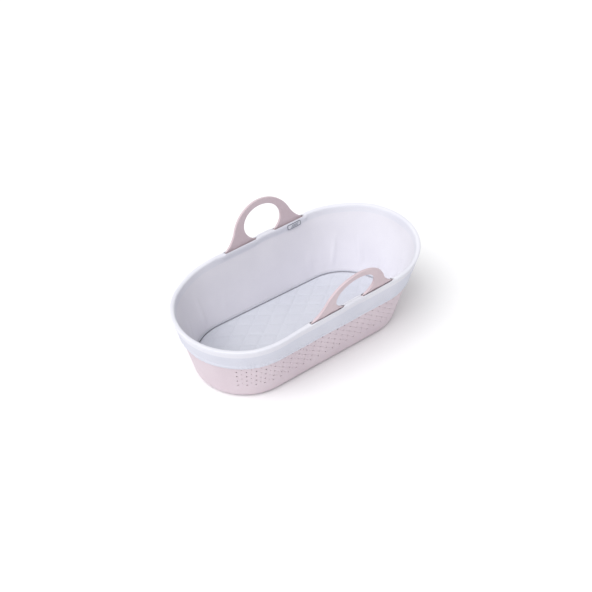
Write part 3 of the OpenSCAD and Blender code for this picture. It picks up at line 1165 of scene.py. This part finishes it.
def inflate(obj, cap):
    """Swells a closed cloth form by simulation, and caps how far each point moves."""
    rest = coords(obj)
    m = obj.modifiers.new("Cloth", "CLOTH")
    m.settings.use_pressure = True
    m.settings.uniform_pressure_force = 4.0
    m.settings.effector_weights.gravity = 0
    m.settings.quality = 4
    m.settings.tension_stiffness = 20
    m.settings.compression_stiffness = 20
    m.point_cache.frame_end = 20
    for frame_no in range(1, 21):
        bpy.context.scene.frame_set(frame_no)
    apply_modifiers(obj)
    bpy.context.scene.frame_set(1)
    now = coords(obj)
    move = now - rest
    length = np.linalg.norm(move, axis=1)[:, None]
    now = rest + move * np.minimum(1, cap / np.maximum(length, 1e-9))
    set_coords(obj, hold_outline(now, rest))


def from_spine(co):
    """Foot of each point on the basket's centre line, and its distance from there."""
    foot = MID_X + np.clip(co[:, 0] - MID_X, -STRAIGHT / 2, STRAIGHT / 2)
    return foot, np.hypot(co[:, 0] - foot, co[:, 1])


def hold_outline(now, rest):
    """Keeps the sides from pulling in, as the foam inside does."""
    foot, r = from_spine(now)
    grow = np.maximum(1, from_spine(rest)[1] / np.maximum(r, 1e-9))
    return np.stack([foot + (now[:, 0] - foot) * grow, now[:, 1] * grow, now[:, 2]], -1)


def fit_in_liner(co):
    """Keeps the mattress inside the space that the liner leaves."""
    co = co.copy()
    co[:, 2] = np.clip(co[:, 2], PAD_DEPTH, MATTRESS_TOP + 0.001)
    x, y, z = co.T
    past = np.clip(x - MID_X, -STRAIGHT / 2, STRAIGHT / 2)
    dx = x - MID_X - past
    r = np.hypot(dx, y)
    limit = pad_radius(np.minimum(z, MATTRESS_TOP)) - 0.0002
    k = np.where(r > limit, limit / np.maximum(r, 1e-9), 1.0)
    co[:, 0] = MID_X + past + dx * k
    co[:, 1] = y * k
    return co


def quilt_line(x, y):
    """Depth of the sewn channels, 1 on a line, and the crown between them."""
    a = (x * 0.72 + y) / QUILT
    b = (x * 0.72 - y) / QUILT
    near = np.minimum(np.abs(a - np.round(a)), np.abs(b - np.round(b))) * QUILT
    return np.exp(-(near / QUILT_WIDTH) ** 2), np.clip(near / (QUILT / 2), 0, 1)


def build_mattress():
    pad = mattress_blank(BLANK_SHRINK)
    remesh(pad, VOXEL)
    inflate(pad, SWELL_CAP)
    set_coords(pad, fit_in_liner(coords(pad)))
    subdivide(pad)
    co = fit_in_liner(coords(pad))
    x, y, z = co.T
    past = np.clip(x - MID_X, -STRAIGHT / 2, STRAIGHT / 2)
    room = pad_radius(np.full(len(x), MATTRESS_TOP)) - np.hypot(x - MID_X - past, y)
    top = smooth((z - (MATTRESS_TOP - 0.012)) / 0.006)
    inside = smooth((room - 0.010) / 0.010)
    line, crown = quilt_line(x, y)
    level = MATTRESS_TOP - CROWN - QUILT_DEPTH * line + CROWN * crown
    co[:, 2] = z + (level - z) * top * inside
    set_coords(pad, co)
    cut_in_two(pad)
    p = columns(2)
    z = MATTRESS_TOP - 0.0035
    path = place(p, pad_radius(np.full(len(p), z)) - 0.0021, z + 0.0012)
    piping = tube("mattress_piping", path, PIPING_R, 10, closed=True)
    finish_piece(piping, "mattress", MATTRESS)


def build_foam():
    """Foam block inside the cover, with rounded edges."""
    p = columns(1)
    ball = FOAM_ROUND
    rows = []
    for middle, first in ((FOAM_LOW + ball, -math.pi / 2), (FOAM_HIGH - ball, 0.0)):
        for k in range(7):
            a = first + math.pi / 2 * k / 6
            z = middle + ball * math.sin(a)
            r = pad_radius(np.full(len(p), z)) - FOAM_INSET - ball + ball * math.cos(a)
            rows.append(place(p, r, z))
    obj = closed_slab("mattress_foam", rows)
    finish_piece(obj, "mattress", foam(), ["mattress_core"])


def cut_in_two(pad):
    """Splits the pad's skin at the seam into a top and a base cover, each of thin cloth."""
    pad.data.materials.clear()
    for name, node, keep_top in (("mattress_top_cloth", "mattress_top_cover", True),
                                 ("mattress_base_cloth", "mattress_base_cover", False)):
        mesh = pad.data.copy()
        mesh.name = name
        with editing(mesh) as bm:
            bmesh.ops.bisect_plane(bm, geom=bm.verts[:] + bm.edges[:] + bm.faces[:],
                                   plane_co=(0, 0, SEAM_Z), plane_no=(0, 0, 1),
                                   clear_outer=not keep_top, clear_inner=keep_top)
        obj = bpy.data.objects.new(name, mesh)
        bpy.context.scene.collection.objects.link(obj)
        thicken(obj, COVER_T)
        finish_piece(obj, "mattress", MATTRESS, [node])
    bpy.data.objects.remove(pad)


# -------------------- build

def dress_node(name, material):
    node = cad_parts[name]
    node.data.materials.clear()
    node.data.materials.append(material)


shell = build_shell()
join(shell, [build_rail(-1), build_rail(1)])
build_handle(1, "handle_left")
build_handle(-1, "handle_right")
build_rim()
build_binding(1, "slit_binding_left")
build_binding(-1, "slit_binding_right")
build_liner_wall()
build_liner_floor()
skirt = build_skirt()
hem = build_hem()
build_hem_stitches()
build_label()
build_mattress()
build_foam()
dress_node("hem_elastic", elastic())

# -------------------- floor, lights and camera

def stage():
    size = 30.0
    floor = new_object("floor", [(-size, -size, 0), (size, -size, 0), (size, size, 0),
                                 (-size, size, 0)], [(0, 1, 2, 3)])
    n = Nodes("floor_paint")
    n.fix("Base Color", rgba(250, 250, 251))
    n.fix("Roughness", 0.9)
    floor.data.materials.append(n.material)


def soft_sun(name, towards, strength, spread):
    """Even light from one side of the studio, as from a large diffuser spread degrees across."""
    data = bpy.data.lights.new(name, "SUN")
    data.energy = strength
    data.angle = math.radians(spread)
    light = bpy.data.objects.new(name, data)
    light.rotation_euler = (-Vector(towards)).to_track_quat("-Z", "Y").to_euler()
    bpy.context.scene.collection.objects.link(light)


def camera():
    azimuth, elevation, distance = math.radians(38.3), math.radians(40.0), 2.7
    look = Vector((math.sin(azimuth) * math.cos(elevation),
                   math.cos(azimuth) * math.cos(elevation), -math.sin(elevation)))
    data = bpy.data.cameras.new("camera")
    data.sensor_width = 36
    data.lens = 52.6
    data.shift_x = -0.005
    data.shift_y = 0.020
    cam = bpy.data.objects.new("camera", data)
    cam.location = Vector((0, 0, 0.105)) - look * distance
    cam.rotation_euler = look.to_track_quat("-Z", "Y").to_euler()
    bpy.context.scene.collection.objects.link(cam)
    bpy.context.scene.camera = cam


stage()
soft_sun("key", (-0.355, -0.065, 0.58), 2.15, 50)
world = bpy.data.worlds.new("world")
world.use_nodes = True
ambient = world.node_tree.nodes["Background"].inputs
ambient["Color"].default_value = (1, 1, 1, 1)
ambient["Strength"].default_value = 0.58
bpy.context.scene.world = world
bpy.context.scene.view_settings.view_transform = "Standard"
camera()
